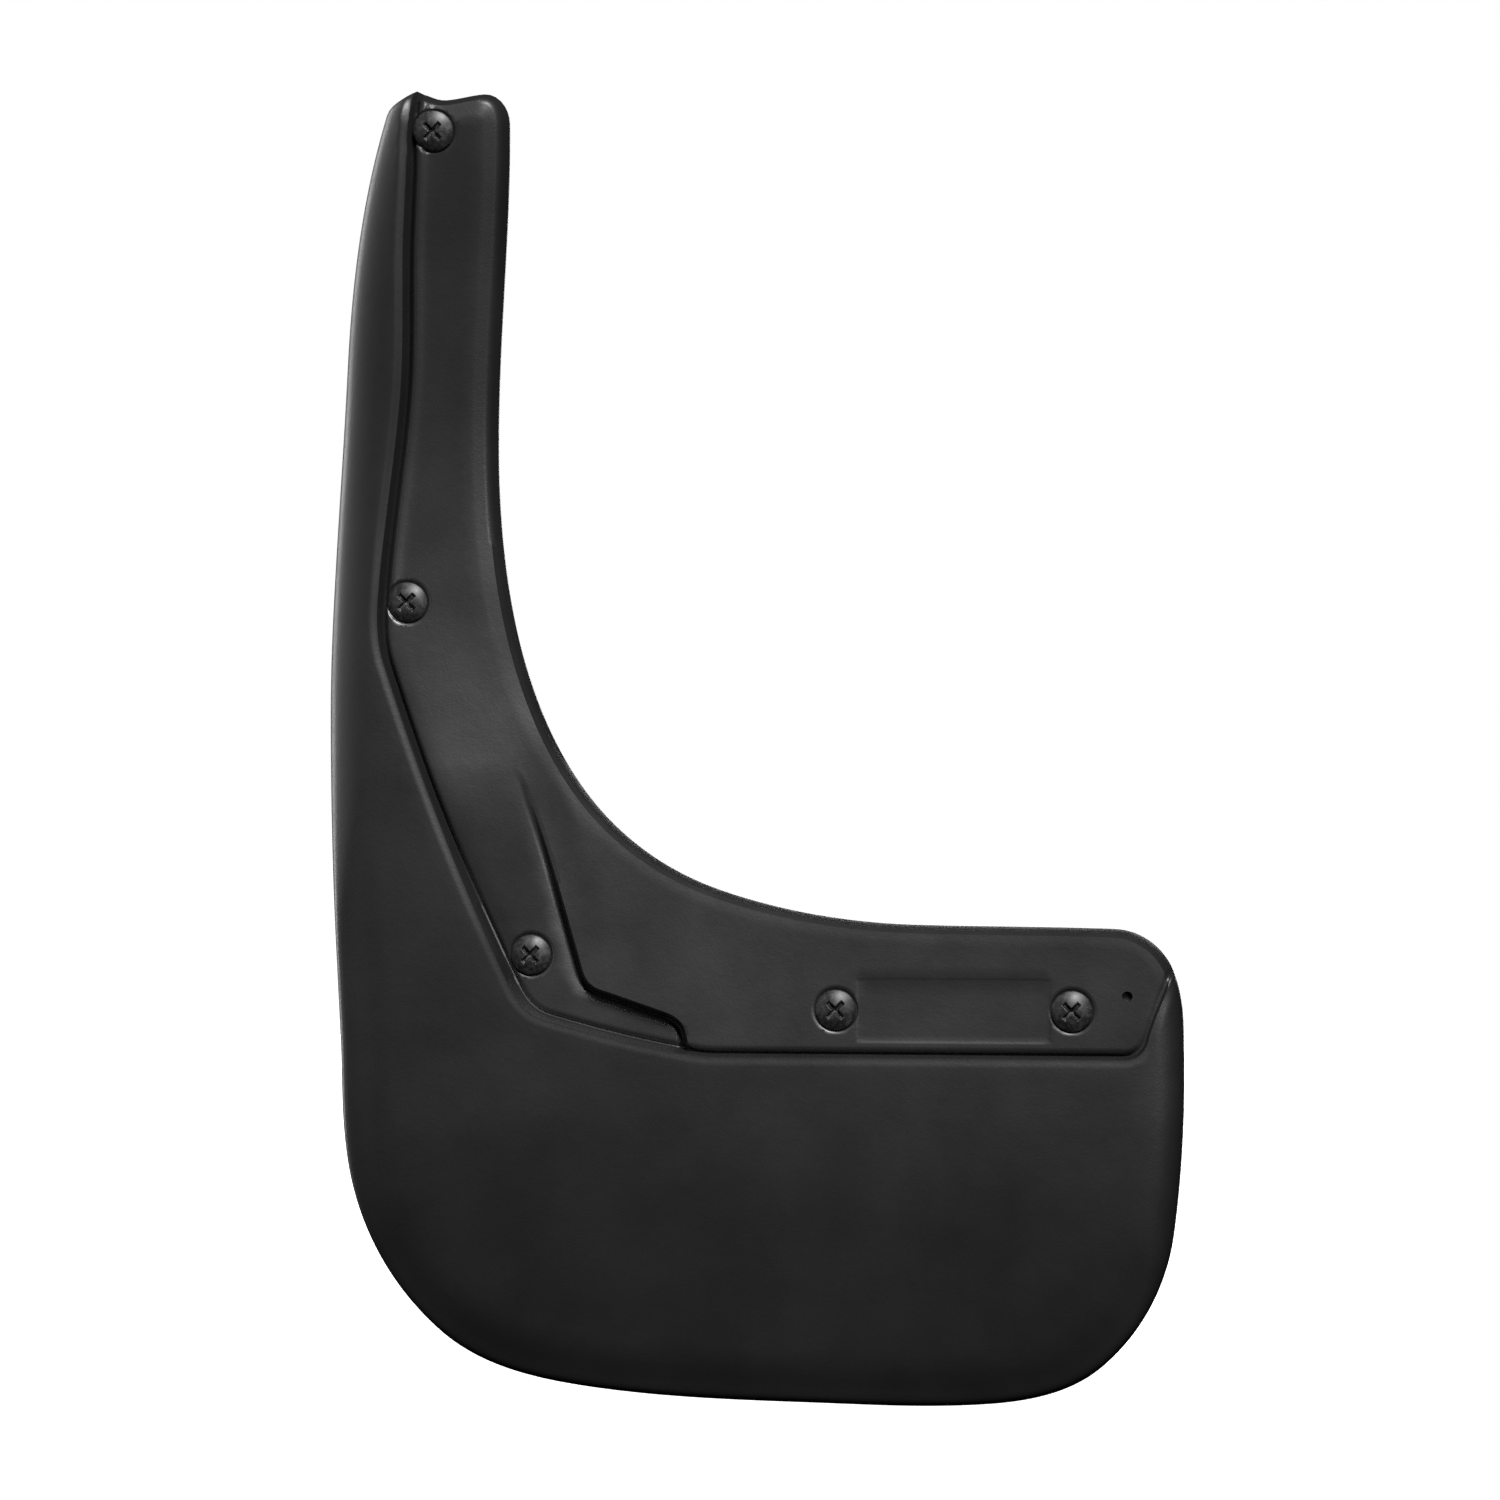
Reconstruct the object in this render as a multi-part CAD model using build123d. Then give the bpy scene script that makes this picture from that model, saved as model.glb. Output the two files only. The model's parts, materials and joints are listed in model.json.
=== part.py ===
from build123d import *
import math
import os

# Moulded mud flap for one side of a vehicle, with its five screws. Millimetres, +Z up.
# The origin is midway between the two lower fixing holes, on the back of the mounting flange.
# The side the screw heads sit on faces -Y; the wheel arch is behind it, on +Y.

WALL = 3.0  # moulding thickness
SHELL_RISE = 4.0  # how far the outer shell stands in front of the flange
LIP_DEPTH = 6.0  # how far the turned-back edge reaches behind the flange
LIP_WALL = 2.5  # thickness of the turned-back edge along the wheel arch
EDGE_RADIUS = 4.0  # rounding of the shell's outer edge

LEAN_START = 115.0  # height where the arm begins to lean forward with the wheel arch
LEAN_RADIUS = 400.0
LEAN_ANGLE = math.radians(11.5)  # lean of the arm's straight upper part
CROWN_START = -30.0  # height where the lower panel begins to curve back
CROWN_RADIUS = 500.0

POCKET_TOP = 72.5  # the pocket round the lower hole slopes down from here
POCKET_FLAT = 26.0  # and is flat below here
POCKET_DEPTH = 4.5
GROOVE_WIDTH = 1.6  # the joint line along the foot of the ridge
GROOVE_DEPTH = 1.4

HOLE_RADIUS = 2.75
SEAT_RADIUS = 6.6
SEAT_DEPTH = 0.6
PILOT_RADIUS = 1.5
PILOT_DEPTH = 2.0  # the pilot hole is blind
PILOT = (52.0, 4.5)
RECESS_SIZE = (58.0, 19.0)  # shallow panel between the two lower holes
RECESS_DEPTH = 0.3

RIB_POSITIONS = (-90.0, -30.0, 30.0)
RIB_WIDTH = 2.0
RIB_BACK = -1.5  # offset of the ribs' back edges from the back of the flange

HEAD_RADIUS = 6.1
HEAD_EDGE = 0.8
HEAD_HEIGHT = 2.8
NECK_RADIUS = 2.0
NECK_LENGTH = 3.0
SHANK_RADIUS = 2.4
SHANK_LENGTH = 20.0
POINT_LENGTH = 5.0
DRIVE_LENGTH = 6.4  # cross recess, across its arms
DRIVE_WIDTH = 1.2
DRIVE_DEPTH = 1.6

# Fixing holes as (x, z) on the front view.
HOLES = {
    "screw_top": (-154.5, 264.0),
    "screw_middle": (-167.0, 123.5),
    "screw_lower": (-129.5, 16.0),
    "screw_inner": (-35.5, 0.0),
    "screw_outer": (35.5, 0.0),
}

# Lines of the front view, each a run of (x, z, heading in degrees).
# The outer edge, from the top of the arm down its side, round the panel and up to the flange's end.
OUTER = [
    (-160, 276.5, 221),
    (-169, 269, 250),
    (-184.5, 194, 264.5),
    (-191.5, 90, 270),
    (-188, -5.5, 273),
    (-183.5, -57.5, 285),
    (-157.5, -99.5, 319),
    (-114.5, -115.5, 352),
    (-45.5, -119.5, 359),
    (9.5, -119, 5),
    (44, -107, 41),
    (65.5, -67.5, 82),
    (68.5, -3.5, 92),
    (65.5, 12, 112),
]
# The wheel arch edge, from the flange's end back to the top of the arm.
INNER = [
    (65.5, 12, 112),
    (48, 24.5, 178),
    (-11.5, 25.5, 178.5),
    (-72, 36, 161),
    (-112.5, 65, 127.5),
    (-134, 112.5, 103),
    (-139.5, 161, 90.5),
    (-132.5, 266.5, 88.5),
    (-140, 275.5, 183),
    (-151.5, 274, 183),
    (-160, 276.5, 160),
]
# The ridge where the raised shell meets the flange.
RIDGE = [
    (-160, 276.5, 263),
    (-162, 259, 267),
    (-164.5, 226.5, 267),
    (-167, 186, 263),
    (-175, 126.5, 265.5),
    (-173.5, 105, 288),
    (-134, 6, 296),
    (-124, -3, 344),
    (-84, -12.5, 350),
    (-72.5, -14, 0),
    (51.5, -14, 0),
    (58, -8.5, 76),
    (65.5, 12, 72),
]
# The step between the pocket round the lower hole and the rest of the flange.
STEP = [
    (-132.5, 72.5, 290),
    (-113.5, 11, 286),
    (-108, 5, 343),
    (-88.5, -1.5, 342),
    (-82, -7, 282),
    (-81, -13.5, 270),
]


def direction(heading):
    angle = math.radians(heading)
    return Vector(math.cos(angle), math.sin(angle))


def shifted(run, distance):
    """The same run moved sideways, to the left of its direction of travel."""
    moved = []
    for x, z, heading in run:
        side = direction(heading + 90) * distance
        moved.append((x + side.X, z + side.Y, heading))
    return moved


def backwards(run):
    return [(x, z, heading + 180) for x, z, heading in reversed(run)]


def curve(start, end):
    """A smooth curve between two points of a run, close to a circular arc."""
    a = Vector(start[0], start[1])
    b = Vector(end[0], end[1])
    turn = math.radians((end[2] - start[2] + 180) % 360 - 180)
    handle = 2 / 3 * (b - a).length / (1 + math.cos(turn / 2))
    return Bezier(a, a + direction(start[2]) * handle, b - direction(end[2]) * handle, b)


def outline(*runs):
    """A closed face from runs of curves, with straight lines across any gaps."""
    edges = []
    for index, run in enumerate(runs):
        edges += [curve(start, end) for start, end in zip(run, run[1:])]
        here = Vector(*run[-1][:2])
        there = Vector(*runs[(index + 1) % len(runs)][0][:2])
        if (there - here).length > 1e-6:
            edges.append(Line(here, there))
    return make_face(edges)


def prism(face):
    """A front-view face carried through the whole depth of the part."""
    return extrude(Plane.XZ * face, amount=100, both=True)


def side_point(offset, z):
    """Depth and lean angle of the flap's surface at a height, at an offset towards the back."""
    if z < CROWN_START:
        crown = CROWN_RADIUS - offset
        return CROWN_RADIUS - math.sqrt(crown ** 2 - (z - CROWN_START) ** 2), 0
    lean = LEAN_RADIUS + offset
    rise = max(0, z - LEAN_START) / lean
    angle = math.asin(min(rise, math.sin(LEAN_ANGLE)))
    straight = max(0, z - LEAN_START - lean * math.sin(LEAN_ANGLE))
    return lean * math.cos(angle) - LEAN_RADIUS - straight * math.tan(LEAN_ANGLE), angle


def side_line(offset):
    """Side-view edges of the flap's surface at an offset: panel, flange, curved arm, straight arm."""
    top = LEAN_START + (LEAN_RADIUS + offset) * math.sin(LEAN_ANGLE)
    middle = LEAN_START + (LEAN_RADIUS + offset) * math.sin(LEAN_ANGLE / 2)
    heights = (-150, -90, CROWN_START, LEAN_START, middle, top, 310)
    points = [(side_point(offset, z)[0], z) for z in heights]
    edges = [
        ThreePointArc(*points[:3]),
        Line(points[2], points[3]),
        ThreePointArc(*points[3:6]),
        Line(points[5], points[6]),
    ]
    return edges, points[0], points[-1]


def layer(front, back):
    """The space between two offsets of the flap's surface, across its whole width."""
    near, near_foot, near_head = side_line(front)
    far, far_foot, far_head = side_line(back)
    face = make_face(near + far + [Line(near_foot, far_foot), Line(near_head, far_head)])
    return extrude(Plane.YZ * face, amount=300, both=True)


def side_prism(points):
    """A side-view polygon of (y, z) points carried across the width."""
    return extrude(Plane.YZ * make_face(Polyline(*points, close=True)), amount=300, both=True)


def on_surface(edge, offset):
    """Whether an edge lies on the flap's surface at an offset and isn't a seam across it."""
    y, z = edge.center().Y, edge.center().Z
    bend = LEAN_START + (LEAN_RADIUS + offset) * math.sin(LEAN_ANGLE)
    near_seam = min(abs(z - seam) for seam in (CROWN_START, LEAN_START, bend)) < 0.5
    across = abs(edge.tangent_at(0.5).X) > 0.999
    return abs(y - side_point(offset, z)[0]) < 0.05 and not (across and near_seam)


def blank():
    """The whole outline as a thick block at the shell's level, with its front edge rounded."""
    front = -WALL - SHELL_RISE
    block = prism(outline(OUTER, INNER)) & layer(front, LIP_DEPTH)
    return fillet([edge for edge in block.edges() if on_surface(edge, front)], EDGE_RADIUS)


def shell_hollow():
    """The space behind the raised shell, crossed by its ribs."""
    skirt = shifted(OUTER[1:13], WALL)
    wall = backwards(shifted(RIDGE[1:12], -WALL))
    hollow = prism(outline(skirt, wall)) & layer(-SHELL_RISE, 60)
    for x in RIB_POSITIONS:
        hollow -= Pos(x, 0, -80) * Box(RIB_WIDTH, 200, 200) & layer(-60, RIB_BACK)
    return hollow


def flange_area(margin):
    """The flange's area, grown over the ridge by a margin and past the wheel arch edge."""
    return outline(shifted(RIDGE, -margin), shifted(INNER, -8))


def flange_back():
    """The space behind the flange, inside its turned-back edge."""
    return prism(outline(shifted(RIDGE[1:12], -WALL), shifted(INNER, LIP_WALL))) & layer(0, 60)


def pocket_side(margin):
    """The area on the pocket's side of the step, grown over the step by a margin."""
    left, bottom = -220, -40
    corners = [(STEP[-1][0], bottom, 0), (left, bottom, 0), (left, POCKET_TOP, 0)]
    return outline(shifted(STEP, margin), *([corner] for corner in corners))


def pocket_floor():
    """The pocket's floor and walls, before its front is cut."""
    area = prism(flange_area(WALL)) & prism(pocket_side(WALL))
    points = [(-1, POCKET_TOP), (0, POCKET_TOP), (POCKET_DEPTH, POCKET_FLAT), (POCKET_DEPTH, -30), (-1, -30)]
    return area & side_prism(points)


def pocket_front():
    """The space cut away in front of the pocket's floor."""
    area = prism(flange_area(0)) & prism(pocket_side(0))
    floor = POCKET_DEPTH - WALL
    points = [(-WALL, POCKET_TOP), (floor, POCKET_FLAT), (floor, -30), (-20, -30), (-20, POCKET_TOP)]
    return area & side_prism(points)


def ridge_groove():
    """The narrow joint line cut along the foot of the ridge, down through the pocket as well."""
    strip = prism(flange_area(0) - flange_area(-GROOVE_WIDTH))
    in_pocket = Pos(0, GROOVE_DEPTH, 0) * pocket_front()
    return strip & (layer(-60, GROOVE_DEPTH - WALL) + in_pocket)


def seat(name):
    """The plane under a screw's head, its Z pointing out of the front."""
    x, z = HOLES[name]
    y, angle = side_point(-WALL, z)
    if name == "screw_lower":
        y += POCKET_DEPTH
    out = Vector(0, -math.cos(angle), -math.sin(angle))
    return Plane(origin=Vector(x, y, z) - out * SEAT_DEPTH, x_dir=(1, 0, 0), z_dir=out)


def drill(flap):
    """Cuts the screw holes with their seats, and the blind pilot hole."""
    for name in HOLES:
        flap -= seat(name) * Cylinder(HOLE_RADIUS, 30)
        flap -= seat(name) * Pos(0, 0, 15) * Cylinder(SEAT_RADIUS, 30)
    length = 20
    pilot = Rot(90, 0, 0) * Cylinder(PILOT_RADIUS, length)
    return flap - Pos(PILOT[0], PILOT_DEPTH - WALL - length / 2, PILOT[1]) * pilot


def make_flap():
    flap = blank()
    flap -= prism(flange_area(0)) & layer(-60, -WALL)
    flap -= shell_hollow()
    flap -= flange_back()
    flap += pocket_floor()
    flap -= pocket_front()
    flap -= ridge_groove()
    depth = 20
    recess = Box(RECESS_SIZE[0], depth, RECESS_SIZE[1])
    flap -= Pos(0, RECESS_DEPTH - WALL - depth / 2, 0) * recess
    return drill(flap)


def make_screw():
    """A truss-head self-tapping screw, head up, with the underside of its head at the origin."""
    rise = HEAD_HEIGHT - HEAD_EDGE
    dome_radius = (HEAD_RADIUS ** 2 + rise ** 2) / (2 * rise)
    half = math.asin(HEAD_RADIUS / dome_radius) / 2
    dome = (dome_radius * math.sin(half), HEAD_HEIGHT - dome_radius * (1 - math.cos(half)))
    profile = [
        Line((0, -SHANK_LENGTH), (SHANK_RADIUS, POINT_LENGTH - SHANK_LENGTH)),
        Line((SHANK_RADIUS, POINT_LENGTH - SHANK_LENGTH), (SHANK_RADIUS, -NECK_LENGTH)),
        Line((SHANK_RADIUS, -NECK_LENGTH), (NECK_RADIUS, -NECK_LENGTH)),
        Line((NECK_RADIUS, -NECK_LENGTH), (NECK_RADIUS, 0)),
        Line((NECK_RADIUS, 0), (HEAD_RADIUS, 0)),
        Line((HEAD_RADIUS, 0), (HEAD_RADIUS, HEAD_EDGE)),
        ThreePointArc((HEAD_RADIUS, HEAD_EDGE), dome, (0, HEAD_HEIGHT)),
        Line((0, HEAD_HEIGHT), (0, -SHANK_LENGTH)),
    ]
    screw = revolve(Plane.XZ * make_face(profile), Axis.Z)
    for angle in (45, 135):
        arm = Box(DRIVE_LENGTH, DRIVE_WIDTH, DRIVE_DEPTH)
        screw -= Pos(0, 0, HEAD_HEIGHT - DRIVE_DEPTH / 2) * Rot(0, 0, angle) * arm
    return screw


def write_node(name, shape):
    shape.label = name
    export_step(shape, os.path.join("parts", name + ".step"))


os.makedirs("parts", exist_ok=True)
write_node("flap", make_flap())
for screw_name in HOLES:
    write_node(screw_name, seat(screw_name) * make_screw())
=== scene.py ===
import json
import math

import bmesh
import bpy
import numpy as np
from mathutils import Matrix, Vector
from mathutils.geometry import delaunay_2d_cdt


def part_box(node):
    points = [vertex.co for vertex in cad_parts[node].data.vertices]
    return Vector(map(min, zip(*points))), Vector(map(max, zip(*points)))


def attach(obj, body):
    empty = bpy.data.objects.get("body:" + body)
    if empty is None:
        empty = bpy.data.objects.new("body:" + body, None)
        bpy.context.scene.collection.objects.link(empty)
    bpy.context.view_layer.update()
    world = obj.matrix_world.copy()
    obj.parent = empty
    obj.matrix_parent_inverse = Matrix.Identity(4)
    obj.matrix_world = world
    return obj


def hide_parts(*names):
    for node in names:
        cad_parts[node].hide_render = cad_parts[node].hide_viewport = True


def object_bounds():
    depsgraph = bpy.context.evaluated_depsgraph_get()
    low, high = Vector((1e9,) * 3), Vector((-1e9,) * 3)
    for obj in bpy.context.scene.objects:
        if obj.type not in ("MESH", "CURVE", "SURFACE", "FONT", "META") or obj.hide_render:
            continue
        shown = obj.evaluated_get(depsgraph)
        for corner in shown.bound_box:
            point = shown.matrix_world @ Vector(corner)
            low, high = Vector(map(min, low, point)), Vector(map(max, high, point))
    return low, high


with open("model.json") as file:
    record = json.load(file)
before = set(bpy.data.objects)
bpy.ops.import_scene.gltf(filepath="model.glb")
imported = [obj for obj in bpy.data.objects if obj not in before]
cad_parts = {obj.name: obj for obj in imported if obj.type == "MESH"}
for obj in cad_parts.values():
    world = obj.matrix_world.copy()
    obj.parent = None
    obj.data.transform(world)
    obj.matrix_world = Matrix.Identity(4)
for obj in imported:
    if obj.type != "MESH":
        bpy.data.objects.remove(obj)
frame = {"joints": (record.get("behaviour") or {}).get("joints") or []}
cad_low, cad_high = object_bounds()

MM = 0.001

# Sizes of the moulding in millimetres, the same as in the CAD source.
WALL = 3.0
SHELL_RISE = 4.0
LIP_DEPTH = 6.0
LIP_WALL = 2.5
LEAN_START = 115.0
LEAN_RADIUS = 400.0
LEAN_ANGLE = math.radians(11.5)
CROWN_START = -30.0
CROWN_RADIUS = 500.0
POCKET_TOP = 72.5
POCKET_FLAT = 26.0
POCKET_DEPTH = 4.5
HOLE_RADIUS = 2.75
SEAT_RADIUS = 6.6
SEAT_DEPTH = 0.6
PILOT = (52.0, 4.5)
PILOT_RADIUS = 1.5
PILOT_DEPTH = 2.0
RECESS_HALF = (29.0, 9.5)
RIB_POSITIONS = (-90.0, -30.0, 30.0)
RIB_HALF = 1.0
RIB_BACK = -1.5

HEAD_RADIUS = 6.1
HEAD_EDGE = 0.8
HEAD_HEIGHT = 2.8
NECK_RADIUS = 2.0
NECK_LENGTH = 3.0
SHANK_RADIUS = 2.4
SHANK_LENGTH = 20.0
POINT_LENGTH = 5.0
THREAD_PITCH = 1.6
THREAD_ROOT = 1.75
SCREW_SIDES = 96
DOME_ROWS = 33
THREAD_ROW = 0.16

# Lines of the front view, each a run of (x, z, heading in degrees).
OUTER = [
    (-160, 276.5, 221),
    (-169, 269, 250),
    (-184.5, 194, 264.5),
    (-191.5, 90, 270),
    (-188, -5.5, 273),
    (-183.5, -57.5, 285),
    (-157.5, -99.5, 319),
    (-114.5, -115.5, 352),
    (-45.5, -119.5, 359),
    (9.5, -119, 5),
    (44, -107, 41),
    (65.5, -67.5, 82),
    (68.5, -3.5, 92),
    (65.5, 12, 112),
]
INNER = [
    (65.5, 12, 112),
    (48, 24.5, 178),
    (-11.5, 25.5, 178.5),
    (-72, 36, 161),
    (-112.5, 65, 127.5),
    (-134, 112.5, 103),
    (-139.5, 161, 90.5),
    (-132.5, 266.5, 88.5),
    (-140, 275.5, 183),
    (-151.5, 274, 183),
    (-160, 276.5, 160),
]
RIDGE = [
    (-160, 276.5, 263),
    (-162, 259, 267),
    (-164.5, 226.5, 267),
    (-167, 186, 263),
    (-175, 126.5, 265.5),
    (-173.5, 105, 288),
    (-134, 6, 296),
    (-124, -3, 344),
    (-84, -12.5, 350),
    (-72.5, -14, 0),
    (51.5, -14, 0),
    (58, -8.5, 76),
    (65.5, 12, 72),
]
STEP = [
    (-132.5, 72.5, 290),
    (-113.5, 11, 286),
    (-108, 5, 343),
    (-88.5, -1.5, 342),
    (-82, -7, 282),
    (-81, -13.5, 270),
]


def heading(degrees):
    """Unit vector of a heading in the front view."""
    angle = math.radians(degrees)
    return np.array([math.cos(angle), math.sin(angle)])


def shifted(run, distance):
    """The same run moved sideways, to the left of its direction of travel."""
    moved = []
    for x, z, degrees in run:
        side = heading(degrees + 90) * distance
        moved.append((x + side[0], z + side[1], degrees))
    return moved


def sampled(run, step):
    """Points about a step apart along the run's smooth curves."""
    points = []
    for start, end in zip(run, run[1:]):
        a, b = np.array(start[:2]), np.array(end[:2])
        chord = np.linalg.norm(b - a)
        turn = math.radians((end[2] - start[2] + 180) % 360 - 180)
        handle = 2 / 3 * chord / (1 + math.cos(turn / 2))
        p = a + heading(start[2]) * handle
        q = b - heading(end[2]) * handle
        count = max(1, round(chord / step))
        t = np.linspace(0, 1, count, endpoint=False)[:, None]
        left = (1 - t) ** 3 * a + 3 * (1 - t) ** 2 * t * p
        points.append(left + 3 * (1 - t) * t * t * q + t ** 3 * b)
    points.append(np.array([run[-1][:2]], float))
    return np.vstack(points)


def extended(line, length):
    """The line with a straight piece added at each end."""
    first, last = line[0] - line[1], line[-1] - line[-2]
    head = line[0] + first / np.linalg.norm(first) * length
    tail = line[-1] + last / np.linalg.norm(last) * length
    return np.vstack([head, line, tail])


def signed_distance(points, line):
    """Distance of each point from the line, positive to the left of its direction."""
    a, d = line[:-1], line[1:] - line[:-1]
    result = np.empty(len(points))
    for begin in range(0, len(points), 2000):
        p = points[begin:begin + 2000, None, :]
        t = np.clip(((p - a) * d).sum(2) / (d * d).sum(1), 0, 1)
        gap = p - (a + t[..., None] * d)
        squared = (gap * gap).sum(2)
        near = squared.argmin(1)
        rows = np.arange(len(near))
        g, along = gap[rows, near], d[near]
        side = along[:, 0] * g[:, 1] - along[:, 1] * g[:, 0]
        result[begin:begin + 2000] = np.sqrt(squared[rows, near]) * np.where(side < 0, -1, 1)
    return result


def inside(points, loop):
    """Which points lie inside a closed loop."""
    x, z = points[:, 0], points[:, 1]
    result = np.zeros(len(points), bool)
    for (ax, az), (bx, bz) in zip(loop, np.roll(loop, -1, axis=0)):
        if az == bz:
            continue
        crosses = (az > z) != (bz > z)
        result ^= crosses & (x < (bx - ax) * (z - az) / (bz - az) + ax)
    return result


def smooth(value, low, high):
    """Zero below low, one above high, and an even S between them."""
    t = np.clip((value - low) / (high - low), 0, 1)
    return t * t * (3 - 2 * t)


def roll(distance, radius):
    """How far a quarter-round edge falls back at a distance from its rim."""
    t = np.clip(radius - distance, 0, radius)
    return radius - np.sqrt(radius * radius - t * t)


SAMPLE = 1.6
OUTER_LINE = sampled(OUTER, SAMPLE)
INNER_LINE = sampled(INNER, SAMPLE)
RIDGE_LINE = extended(sampled(RIDGE, SAMPLE), 20)
STEP_LINE = extended(sampled(STEP, SAMPLE), 40)
RIM = np.vstack([OUTER_LINE[:-1], INNER_LINE[:-1]])


class Places:
    """Distances of a set of front-view points from the moulding's lines."""

    def __init__(self, points):
        self.x, self.z = points[:, 0], points[:, 1]
        self.outer = np.abs(signed_distance(points, OUTER_LINE))
        self.inner = np.abs(signed_distance(points, INNER_LINE))
        self.ridge = signed_distance(points, RIDGE_LINE)
        self.step = signed_distance(points, STEP_LINE)


def pocket_depth(places, margin):
    """How deep the pocket is, its wall lying at a margin past the step line."""
    fall = (POCKET_TOP - places.z) / (POCKET_TOP - POCKET_FLAT)
    fall = np.clip(fall, 0, 1)
    fall = fall - 0.06 * np.sin(2 * math.pi * fall)
    return POCKET_DEPTH * fall * (1 - smooth(places.step - margin, -0.9, 0.9))


def bell(value, width):
    """One at zero, falling away evenly on both sides."""
    return np.exp(-(value / width) ** 2)


def window(value, start, full, fading, end):
    """One between full and fading, easing to nothing at start and end."""
    return smooth(value, start, full) * (1 - smooth(value, fading, end))


def sway(places):
    """The flange's slight S-shaped wave, shared by its front and its back."""
    return 0.3 * np.sin(2 * math.pi * (places.z - 63) / 110) * window(places.z, 8, 30, 100, 118)


def shoulder(places):
    """The gentle fall of the panel towards its outer edge, gone on the arm."""
    fall = 1.8 * (1 - smooth(places.z, 20, 90))
    return fall * (1 - smooth(places.outer, 0, 15))


def outer_roll(places):
    """The rounded outer edge: broad up the arm and down the free side, tight along the bottom."""
    arm = smooth(places.z, 20, 90) * (places.x < -100)
    free = smooth(places.x, 44, 60) * smooth(places.z, -100, -60)
    width = 2.5 + 13 * arm + 6 * free
    depth = 2.5 + 4 * arm + 3.5 * free
    t = np.clip(1 - places.outer / width, 0, 1)
    return depth * (1 - np.sqrt(1 - t * t))


def inner_roll(places):
    """The wheel arch's edge: a shallow facet, a steeper one, then the lip wall with its draft."""
    arm = smooth(places.z, 40, 130)
    turn = 0.06 + 0.27 * smooth(places.z, 80, 190)
    shallow = np.maximum(5 + 2.5 * arm - places.inner, 0) * turn
    steep = np.maximum(2.4 - places.inner, 0) * 1.7
    return np.minimum(shallow + steep, 4.2) + 3 * np.clip(1 - places.inner / 1.2, 0, 1)


def groove(places):
    """The joint line where the flange meets the raised shell, with the cove beside it."""
    ridge = np.maximum(places.ridge, 0)
    arm = smooth(places.z, 110, 135)
    cove = 0.8 * np.maximum(1 - ridge / 8, 0) ** 2 * window(places.z, -5, 10, 95, 125)
    bead = 0.8 * bell(ridge - 3.6, 1.3) * arm
    depth = 2.6 - 0.4 * smooth(places.x, -90, -70) - 1.8 * smooth(places.x, 50, 57)
    depth -= 1.3 * pocket_depth(places, 0) / POCKET_DEPTH
    return depth * bell(places.ridge - 0.9, 0.8) + cove - bead


def belly(places):
    """How the lower panel turns back a little sooner than its even curve."""
    return 1.4 * smooth(-places.z, 30, 100)


def lip(places):
    """The eased edge of the raised shell above the joint line."""
    fall = 0.3 + 0.3 * smooth(places.z, 0, 60) + 0.55 * smooth(places.z, 115, 150)
    return fall * (1 - smooth(-places.ridge, 0.2, 3.0))


def twist(places):
    """The flange's turn towards the light where it sweeps up into the arm."""
    lift = 0.08 * (places.ridge - 14) * window(places.z, 10, 70, 95, 135)
    return lift * (1 - smooth(places.step, 0, 12) * (1 - smooth(places.z, 60, 95)))


def front_offset(places, holes):
    """Offset of the visible surface from the flange's back, negative towards the front."""
    flange = -WALL + pocket_depth(places, 0) + inner_roll(places)
    flange += sway(places) + twist(places) + groove(places)
    flange += pocket_depth(places, 0) * 0.25 * bell(places.step + 1.4, 0.9)
    panel = smooth(RECESS_HALF[0] - np.abs(places.x), -0.5, 0.5)
    panel *= smooth(RECESS_HALF[1] - np.abs(places.z), -0.5, 0.5)
    flange += 0.2 * panel
    for x, z, tilt in holes:
        away = np.hypot(places.x - x, (places.z - z) / tilt)
        flange += SEAT_DEPTH * (1 - smooth(away, SEAT_RADIUS - 0.3, SEAT_RADIUS + 0.3))
    away = np.hypot(places.x - PILOT[0], places.z - PILOT[1])
    flange += PILOT_DEPTH * (1 - smooth(away, PILOT_RADIUS - 0.3, PILOT_RADIUS + 0.1))
    shell = -WALL - SHELL_RISE + outer_roll(places) + shoulder(places)
    shell += lip(places) + belly(places)
    share = smooth(places.ridge, -0.3, 0.4)
    return shell * (1 - share) + flange * share


def back_offset(places):
    """Offset of the hidden surface from the flange's back."""
    hollow = -SHELL_RISE + shoulder(places) + belly(places)
    flange = pocket_depth(places, WALL) + sway(places)
    share = smooth(places.ridge + WALL, -0.4, 0.4)
    offset = hollow * (1 - share) + flange * share
    rib = np.zeros(len(places.x))
    for x in RIB_POSITIONS:
        rib = np.maximum(rib, smooth(RIB_HALF - np.abs(places.x - x), -0.25, 0.25))
    rib *= (1 - share) * (places.z < 0)
    offset += rib * (RIB_BACK + belly(places) - offset)
    wall = 1 - smooth(places.outer, WALL - 0.3, WALL + 0.3)
    wall = np.maximum(wall, 1 - smooth(places.inner, LIP_WALL - 0.3, LIP_WALL + 0.3))
    rim = LIP_DEPTH - roll(np.minimum(places.outer, places.inner), 0.8)
    return offset + wall * (rim - offset)


def lifted(points, offset):
    """Front-view points and surface offsets as positions in millimetres."""
    x, z = points[:, 0], points[:, 1]
    down = np.maximum(CROWN_START - z, 0)
    crown = CROWN_RADIUS - np.sqrt((CROWN_RADIUS - offset) ** 2 - down ** 2)
    radius = LEAN_RADIUS + offset
    up = np.maximum(z - LEAN_START, 0)
    bent = np.minimum(up, radius * math.sin(LEAN_ANGLE))
    lean = np.sqrt(radius ** 2 - bent ** 2) - LEAN_RADIUS - (up - bent) * math.tan(LEAN_ANGLE)
    return np.column_stack([x, np.where(z > LEAN_START, lean, crown), z])


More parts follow.
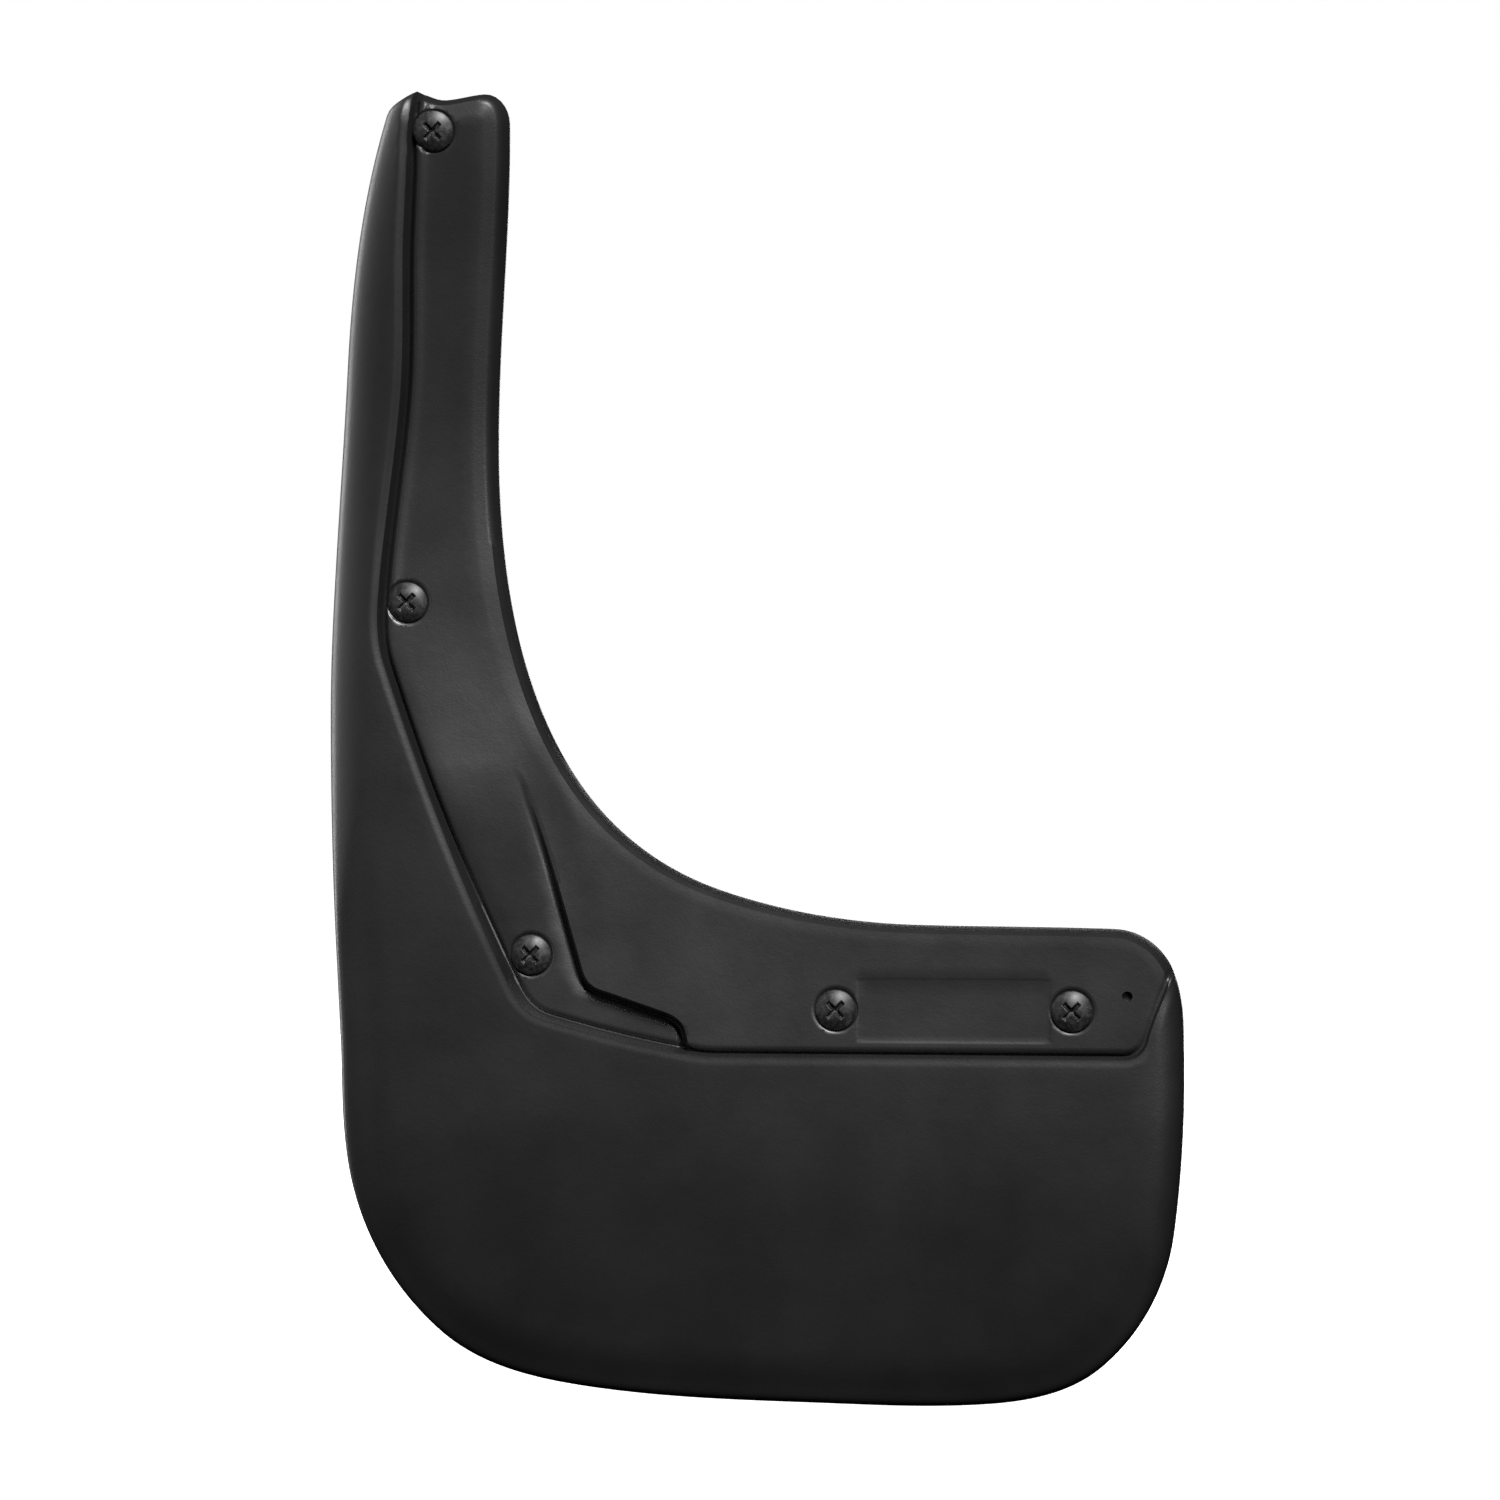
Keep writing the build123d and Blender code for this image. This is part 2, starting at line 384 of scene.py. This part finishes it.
def ring(x, z, radius, tilt, count):
    """Points round a hole in the front view, foreshortened by the surface's tilt."""
    angles = np.linspace(0, 2 * math.pi, count, endpoint=False)
    return np.column_stack([x + radius * np.cos(angles), z + radius * tilt * np.sin(angles)])


# Distances from each line of the front view at which the meshes get a feature line.
FRONT_OUTER_LINES = (0.25, 0.8, 1.6, 2.6, 4.0, 5.5, 7, 8.5, 10, 12)
FRONT_INNER_LINES = (0.6, 1.2, 1.35, 2.4, 3.6, 5.0, 6.2, 7.5)
FRONT_RIDGE_LINES = (
    -3, -2.4, -1.8, -1.2, -0.7, -0.4, 0, 0.4, 0.9, 1.4, 2.0, 2.6, 3.2, 3.9, 5, 6.5, 8
)
FRONT_STEP_LINES = (-3, -2.2, -1.5, -0.9, -0.45, 0, 0.45, 0.9, 2.0)
BACK_STEP_LINES = (-2.2, -1.5, -0.9, -0.45, 0, 0.45, 0.9, 1.5, 2.2)
FRONT_SPACING = 2.6
BACK_SPACING = 3.4


class Sheet:
    """One side of the moulding as a triangulated front-view map with its feature lines."""

    def __init__(self, holes, spacing):
        self.points = []
        self.edges = []
        self.loops = [self.closed(RIM)]
        self.hole_rings = [ring(x, z, HOLE_RADIUS, tilt, 32) for x, z, tilt in holes]
        self.loops += [self.closed(points) for points in self.hole_rings]
        self.holes = holes
        self.spacing = spacing

    def closed(self, points):
        """Adds a closed loop and returns its points' numbers."""
        start = len(self.points)
        self.points += [tuple(p) for p in points]
        names = list(range(start, start + len(points)))
        self.edges += list(zip(names, names[1:] + names[:1]))
        return names

    def usable(self, points, margin):
        """Which points lie on the moulding, clear of its rim and its holes."""
        rim = np.vstack([RIM, RIM[:1]])
        good = inside(points, RIM) & (np.abs(signed_distance(points, rim)) > margin)
        for x, z, _ in self.holes:
            good &= np.hypot(points[:, 0] - x, points[:, 1] - z) > HOLE_RADIUS + 0.25
        return good

    def line(self, points, margin=0.2):
        """Adds a feature line, leaving out what falls off the moulding."""
        good = self.usable(points, margin)
        start = len(self.points)
        kept = np.cumsum(good) - 1 + start
        self.points += [tuple(p) for p in points[good]]
        for index in range(len(points) - 1):
            if good[index] and good[index + 1]:
                self.edges.append((int(kept[index]), int(kept[index + 1])))

    def fill(self):
        """Adds a field of points between the lines."""
        low, high = RIM.min(0), RIM.max(0)
        rows = []
        z, odd = low[1], 0
        while z < high[1]:
            x = np.arange(low[0] + odd * self.spacing / 2, high[0], self.spacing)
            rows.append(np.column_stack([x, np.full(len(x), z)]))
            z += self.spacing * 0.87
            odd = 1 - odd
        field = np.vstack(rows)
        field = field[self.usable(field, self.spacing * 0.5)]
        lines = np.array(self.points)
        cell = self.spacing * 0.55
        taken = set()
        for x, z in np.round(lines / cell).astype(int):
            taken.update((x + i, z + j) for i in (-1, 0, 1) for j in (-1, 0, 1))
        keys = np.round(field / cell).astype(int)
        free = [tuple(key) not in taken for key in keys]
        self.points += [tuple(p) for p in field[free]]

    def triangles(self):
        """The finished map: its points, its triangles and its loops of rim points."""
        vectors = [Vector(p) for p in self.points]
        made = delaunay_2d_cdt(vectors, self.edges, [], 0, 1e-5)
        points = np.array([tuple(v) for v in made[0]])
        faces = np.array(made[2])
        middles = points[faces].mean(1)
        good = inside(middles, RIM)
        for loop in self.hole_rings:
            good &= ~inside(middles, loop)
        place = {}
        for index, origins in enumerate(made[3]):
            for origin in origins:
                place[origin] = index
        loops = [[place[name] for name in loop] for loop in self.loops]
        return points, faces[good], loops


def rim_lines(run, distances, sheet):
    """Feature lines that follow the rim, kept off the rim's other side."""
    for distance in distances:
        sheet.line(sampled(shifted(run, distance), SAMPLE), max(0.15, distance * 0.85))


def side_lines(run, distances, sheet):
    """Feature lines beside a line that crosses the moulding."""
    for distance in distances:
        sheet.line(sampled(shifted(run, distance), SAMPLE))


def screw_tip(body, toward):
    """The screw's point, from its CAD box and the way it comes out."""
    low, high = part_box(body)
    middle = (low + high) / 2
    seat_z = high.z + HEAD_RADIUS * MM * toward.y if toward.z else middle.z
    return Vector((middle.x, high.y, seat_z - SHANK_LENGTH * MM * toward.z))


def hole_list(depth):
    """Each hole's centre and foreshortening on the surface at an offset from the flange's back."""
    holes = []
    for joint in frame["joints"]:
        toward = Vector(joint["axis"])
        reach = SHANK_LENGTH + SEAT_DEPTH - WALL - depth
        point = screw_tip(joint["child"], toward) / MM + toward * reach
        holes.append((point.x, point.z, -toward.y))
    return holes


def front_sheet():
    """Points, triangles and loops of the visible side."""
    holes = hole_list(-WALL)
    sheet = Sheet(holes, FRONT_SPACING)
    rim_lines(OUTER, FRONT_OUTER_LINES, sheet)
    rim_lines(INNER, FRONT_INNER_LINES, sheet)
    side_lines(RIDGE, FRONT_RIDGE_LINES, sheet)
    side_lines(STEP, FRONT_STEP_LINES, sheet)
    for x, z, tilt in holes:
        for radius in (4.4, SEAT_RADIUS - 0.3, SEAT_RADIUS, SEAT_RADIUS + 0.3, SEAT_RADIUS + 1.2):
            circle = ring(x, z, radius, tilt, 40)
            sheet.line(np.vstack([circle, circle[:1]]))
    for radius in (0.6, PILOT_RADIUS - 0.3, PILOT_RADIUS - 0.1, PILOT_RADIUS + 0.1, 2.2):
        circle = ring(*PILOT, radius, 1, 24)
        sheet.line(np.vstack([circle, circle[:1]]))
    for grow in (-0.5, 0, 0.5):
        a, b = RECESS_HALF[0] + grow, RECESS_HALF[1] + grow
        corners = [(-a, -b), (a, -b), (a, b), (-a, b), (-a, -b)]
        for start, end in zip(corners, corners[1:]):
            sheet.line(np.linspace(start, end, 24))
    sheet.fill()
    points, faces, loops = sheet.triangles()
    return lifted(points, front_offset(Places(points), holes)), faces, loops


def back_sheet():
    """Points, triangles and loops of the hidden side."""
    holes = hole_list(0)
    sheet = Sheet(holes, BACK_SPACING)
    rim_lines(OUTER, (0.3, 0.8, WALL - 0.3, WALL + 0.3), sheet)
    rim_lines(INNER, (0.3, 0.8, LIP_WALL - 0.3, LIP_WALL + 0.3), sheet)
    side_lines(RIDGE, (-WALL - 0.4, -WALL + 0.4), sheet)
    side_lines(STEP, [WALL + away for away in BACK_STEP_LINES], sheet)
    for x in RIB_POSITIONS:
        for off in (-1.25, -0.75, 0.75, 1.25):
            sheet.line(np.column_stack([np.full(40, x + off), np.linspace(-125, -12, 40)]))
    sheet.fill()
    points, faces, loops = sheet.triangles()
    return lifted(points, back_offset(Places(points))), faces, loops


def mesh_object(name, points, faces, body, node):
    """A smooth-shaded mesh piece that stands for a CAD node and rides on its body."""
    mesh = bpy.data.meshes.new(name)
    mesh.from_pydata([tuple(p) for p in points], [], [tuple(int(i) for i in f) for f in faces])
    mesh.validate()
    piece = bpy.data.objects.new(name, mesh)
    bpy.context.scene.collection.objects.link(piece)
    shaded = bmesh.new()
    shaded.from_mesh(mesh)
    bmesh.ops.recalc_face_normals(shaded, faces=shaded.faces)
    for face in shaded.faces:
        face.smooth = True
    shaded.to_mesh(mesh)
    shaded.free()
    mesh.set_sharp_from_angle(angle=math.radians(50))
    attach(piece, body)
    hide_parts(node)
    return piece


def make_flap(shell_skin, flange_painted_light_skin):
    """The moulding: both sheets, joined along the rim and through the holes."""
    front, front_faces, front_loops = front_sheet()
    back, back_faces, back_loops = back_sheet()
    shift = len(front)
    faces = [tuple(f) for f in front_faces]
    faces += [tuple(i + shift for i in f) for f in back_faces]
    for near, far in zip(front_loops, back_loops):
        count = len(near)
        for index in range(count):
            after = (index + 1) % count
            faces.append((near[index], near[after], far[after] + shift, far[index] + shift))
    points = np.vstack([front, back])
    piece = mesh_object("flap_moulding", points * MM, faces, "moulding", "flap")
    piece.data.materials.append(shell_skin)
    piece.data.materials.append(flange_painted_light_skin)
    middles = front[front_faces].mean(1)
    on_flange = signed_distance(middles[:, [0, 2]], RIDGE_LINE) > 0.4
    # Faces past the joint line take the flange's copy, with its painted lighter colour and painted
    # sheen.
    for polygon, painted_light_face in zip(piece.data.polygons, on_flange):
        polygon.material_index = int(painted_light_face)
    return piece


def head_height(radius):
    """Height of the screw head's dome above its underside."""
    rise = HEAD_HEIGHT - HEAD_EDGE
    dome = (HEAD_RADIUS ** 2 + rise ** 2) / (2 * rise)
    return HEAD_HEIGHT - dome + math.sqrt(dome ** 2 - radius ** 2)


def recess_depth(x, y):
    """Depth of the cross recess at a place on the head."""
    depth = 0.0
    for along, across in ((x, y), (y, x)):
        inner = min(3.2 - abs(along), 0.62 - abs(across))
        slope = 1.7 - 0.3 * abs(along)
        depth = max(depth, slope * min(1.0, max(0.0, (inner + 0.12) / 0.3)))
    return depth


def screw_mesh():
    """Points and faces of one screw in millimetres, head up, the underside of its head at 0."""
    count = SCREW_SIDES
    rows = []
    for step in range(1, DOME_ROWS + 1):
        radius = HEAD_RADIUS * step / DOME_ROWS * 0.985
        rows.append(("top", radius, head_height(radius)))
    rows.append(("plain", HEAD_RADIUS, HEAD_EDGE - 0.05))
    rows.append(("plain", HEAD_RADIUS, 0.12))
    rows.append(("plain", HEAD_RADIUS - 0.12, 0.0))
    rows.append(("plain", NECK_RADIUS + 0.3, 0.0))
    rows.append(("plain", NECK_RADIUS, -0.3))
    rows.append(("plain", NECK_RADIUS, -NECK_LENGTH + 0.1))
    height = -NECK_LENGTH
    while height > -SHANK_LENGTH + 0.1:
        rows.append(("thread", 0, height))
        height -= THREAD_ROW
    points = [(0, 0, HEAD_HEIGHT - recess_depth(0, 0))]
    for kind, radius, height in rows:
        for index in range(count):
            angle = 2 * math.pi * index / count
            c, s = math.cos(angle), math.sin(angle)
            r, h = radius, height
            if kind == "top":
                turned = angle + math.pi / 4
                h -= recess_depth(radius * math.cos(turned), radius * math.sin(turned))
            if kind == "thread":
                taper = min(1.0, (SHANK_LENGTH + height) / POINT_LENGTH)
                phase = (height / THREAD_PITCH - index / count) % 1
                crest = max(0.0, 1 - abs(phase - 0.5) / 0.24)
                r = (THREAD_ROOT + (SHANK_RADIUS - THREAD_ROOT) * crest) * taper
            points.append((r * c, r * s, h))
    faces = [(0, 1 + index, 1 + (index + 1) % count) for index in range(count)]
    for row in range(len(rows) - 1):
        for index in range(count):
            after = (index + 1) % count
            a, b = 1 + row * count, 1 + (row + 1) * count
            faces.append((a + index, b + index, b + after, a + after))
    points.append((0, 0, -SHANK_LENGTH))
    last = 1 + (len(rows) - 1) * count
    tip = len(points) - 1
    faces += [(last + index, tip, last + (index + 1) % count) for index in range(count)]
    return points, faces


def make_screws():
    """One threaded screw on each sliding body, in line with its joint."""
    points, faces = screw_mesh()
    points = np.array(points) * MM
    made = []
    for joint in frame["joints"]:
        body = joint["child"]
        toward = Vector(joint["axis"])
        turn = toward.to_track_quat("Z", "Y").to_matrix()
        seat = screw_tip(body, toward) + toward * SHANK_LENGTH * MM
        placed = points @ np.array(turn).T + np.array(seat)
        made.append(mesh_object(body + "_threaded", placed, faces, body, body))
    return made


def new_material(name):
    """A node material with its tree and its main shader."""
    material = bpy.data.materials.new(name)
    material.use_nodes = True
    tree = material.node_tree
    return material, tree, tree.nodes["Principled BSDF"]


def node(tree, kind, **inputs):
    """A new shader node with some inputs set; an underscore stands for a space."""
    made = tree.nodes.new(kind)
    for name, value in inputs.items():
        made.inputs[name.replace("_", " ")].default_value = value
    return made


def noise(tree, position, scale, detail=4.0, roughness=0.55):
    made = node(tree, "ShaderNodeTexNoise", Scale=scale, Detail=detail, Roughness=roughness)
    tree.links.new(position, made.inputs["Vector"])
    return made.outputs["Fac"]


def spread(tree, value, low, high, out_low, out_high):
    """The value's range from low to high mapped to another range."""
    made = node(tree, "ShaderNodeMapRange", From_Min=low, From_Max=high)
    made.inputs["To Min"].default_value = out_low
    made.inputs["To Max"].default_value = out_high
    tree.links.new(value, made.inputs["Value"])
    return made.outputs["Result"]


def ramp(tree, value, stops):
    made = tree.nodes.new("ShaderNodeValToRGB")
    while len(made.color_ramp.elements) < len(stops):
        made.color_ramp.elements.new(0.5)
    for element, (place, colour) in zip(made.color_ramp.elements, stops):
        element.position = place
        element.color = (*colour, 1)
    tree.links.new(value, made.inputs["Fac"])
    return made.outputs["Color"]


def bump(tree, height, strength, distance, normal=None):
    made = node(tree, "ShaderNodeBump", Strength=strength, Distance=distance)
    tree.links.new(height, made.inputs["Height"])
    if normal:
        tree.links.new(normal, made.inputs["Normal"])
    return made.outputs["Normal"]


def moulded_plastic(name, shade):
    """Satin black polypropylene with a fine moulded grain, faint flow marks and light scuffs."""
    material, tree, shader = new_material(name)
    place = tree.nodes.new("ShaderNodeTexCoord").outputs["Object"]
    cloud = noise(tree, place, 9.0, 5.0)
    # shade scales the colour; above 1 it paints a lighter copy of the same plastic.
    low, high = 0.006 * shade, 0.009 * shade
    colour = ramp(tree, cloud, [(0.35, (low, low, low * 1.05)), (0.65, (high, high, high * 1.04))])
    tree.links.new(colour, shader.inputs["Base Color"])
    patch = noise(tree, place, 35.0, 6.0, 0.65)
    tree.links.new(spread(tree, patch, 0.3, 0.7, 0.40, 0.48), shader.inputs["Roughness"])
    grain = noise(tree, place, 1500.0, 2.0)
    coarse = noise(tree, place, 420.0, 3.0)
    normal = bump(tree, grain, 0.25, 0.00012)
    normal = bump(tree, coarse, 0.2, 0.0002, normal)
    tree.links.new(normal, shader.inputs["Normal"])
    return material, tree, shader


def shell_plastic():
    """The raised shell's satin skin."""
    material, _, shader = moulded_plastic("shell_plastic", 1.0)
    shader.inputs["Specular IOR Level"].default_value = 0.42
    return material


def flange_painted_light_plastic():
    """The flange's plastic: the shell's plastic with its colour painted lighter, and a painted
    sheen that is strongest round the bend and weaker towards both ends.
    """
    # Colour painted 15 percent lighter than the shell's, as painted light on the flange.
    material, tree, shader = moulded_plastic("flange_painted_light_plastic", 1.15)
    # Painted sheen: the specular level is raised near the bend of the arm and falls off with
    # distance, so the flange reads brighter there.
    place = tree.nodes.new("ShaderNodeTexCoord").outputs["Object"]
    away = tree.nodes.new("ShaderNodeVectorMath")
    away.operation = "DISTANCE"
    away.inputs[1].default_value = (-0.11, 0, 0.05)
    tree.links.new(place, away.inputs[0])
    painted_sheen = spread(tree, away.outputs["Value"], 0.05, 0.2, 0.8, 0.34)
    tree.links.new(painted_sheen, shader.inputs["Specular IOR Level"])
    return material


def black_steel():
    """Black-coated screw steel with small wear on its coating."""
    material, tree, shader = new_material("black_coated_steel")
    place = tree.nodes.new("ShaderNodeTexCoord").outputs["Object"]
    worn = noise(tree, place, 700.0, 5.0, 0.6)
    colour = ramp(tree, worn, [(0.45, (0.012, 0.012, 0.013)), (0.8, (0.05, 0.048, 0.046))])
    tree.links.new(colour, shader.inputs["Base Color"])
    tree.links.new(spread(tree, worn, 0.3, 0.7, 0.38, 0.55), shader.inputs["Roughness"])
    shader.inputs["Metallic"].default_value = 0.35
    normal = bump(tree, noise(tree, place, 2500.0, 2.0), 0.15, 0.00008)
    tree.links.new(normal, shader.inputs["Normal"])
    return material


# Studio, in metres.
CAMERA_PLACE = (0.111, -1.3, 0.065)
CAMERA_LENS = 104
FLOOR_HALF = 40.0
FLOOR_GAP = 0.001


def make_camera():
    """The camera, in front of the part and aimed at the middle of its box."""
    camera = bpy.data.cameras.new("camera")
    camera.lens = CAMERA_LENS
    camera.clip_end = 200
    holder = bpy.data.objects.new("camera", camera)
    bpy.context.scene.collection.objects.link(holder)
    holder.location = CAMERA_PLACE
    target = (cad_low + cad_high) / 2
    holder.rotation_euler = (target - holder.location).to_track_quat("-Z", "Y").to_euler()
    bpy.context.scene.camera = holder


def area_light(name, place, target, width, height, power):
    """A soft rectangular light aimed at a target, itself out of sight."""
    light = bpy.data.lights.new(name, "AREA")
    light.shape = "RECTANGLE"
    light.size, light.size_y, light.energy = width, height, power
    holder = bpy.data.objects.new(name, light)
    holder.location = place
    holder.visible_camera = False
    holder.rotation_euler = (Vector(target) - Vector(place)).to_track_quat("-Z", "Y").to_euler()
    bpy.context.scene.collection.objects.link(holder)


def make_stage():
    """A pale floor, a white surround and soft studio lights."""
    middle = (cad_low + cad_high) / 2
    mesh = bpy.data.meshes.new("floor")
    corners = [(-1, -1), (1, -1), (1, 1), (-1, 1)]
    mesh.from_pydata([(x * FLOOR_HALF, y * FLOOR_HALF, 0) for x, y in corners], [], [(0, 1, 2, 3)])
    floor = bpy.data.objects.new("floor", mesh)
    floor.location = (middle.x, middle.y, cad_low.z - FLOOR_GAP)
    bpy.context.scene.collection.objects.link(floor)
    material, tree, shader = new_material("pale_floor")
    place = tree.nodes.new("ShaderNodeTexCoord").outputs["Object"]
    tint = ramp(tree, noise(tree, place, 3.0), [(0.3, (0.86, 0.86, 0.86)), (0.7, (0.9, 0.9, 0.9))])
    tree.links.new(tint, shader.inputs["Base Color"])
    shader.inputs["Roughness"].default_value = 0.9
    shader.inputs["Specular IOR Level"].default_value = 0.0
    shader.inputs["Emission Color"].default_value = (1, 1, 1, 1)
    shader.inputs["Emission Strength"].default_value = 1.05
    mesh.materials.append(material)
    floor.visible_diffuse = False
    floor.visible_glossy = False
    world = bpy.data.worlds.new("studio")
    bpy.context.scene.world = world
    world.use_nodes = True
    world.node_tree.nodes["Background"].inputs["Color"].default_value = (1, 1, 1, 1)
    world.node_tree.nodes["Background"].inputs["Strength"].default_value = 1.0
    world.cycles_visibility.diffuse = False
    world.cycles_visibility.glossy = False
    area_light("key_soft", Vector((0.3, -1.1, 1.2)), middle, 0.5, 0.4, 62)
    area_light("right_soft", Vector((0.9, -1.3, 0.35)), middle, 0.3, 0.3, 5)
    area_light("left_soft", middle + Vector((-1.5, -0.9, 0.2)), middle, 1.0, 1.2, 4)
    area_light("left_strip", middle + Vector((-1.3, 0.2, 0.35)), middle, 0.4, 1.4, 24)
    area_light("back_soft", middle + Vector((-0.2, 2.0, 0.1)), middle, 1.6, 1.0, 26)


make_camera()
bpy.context.scene.view_settings.view_transform = "Standard"
make_stage()
make_flap(shell_plastic(), flange_painted_light_plastic())
steel = black_steel()
for screw in make_screws():
    screw.data.materials.append(steel)
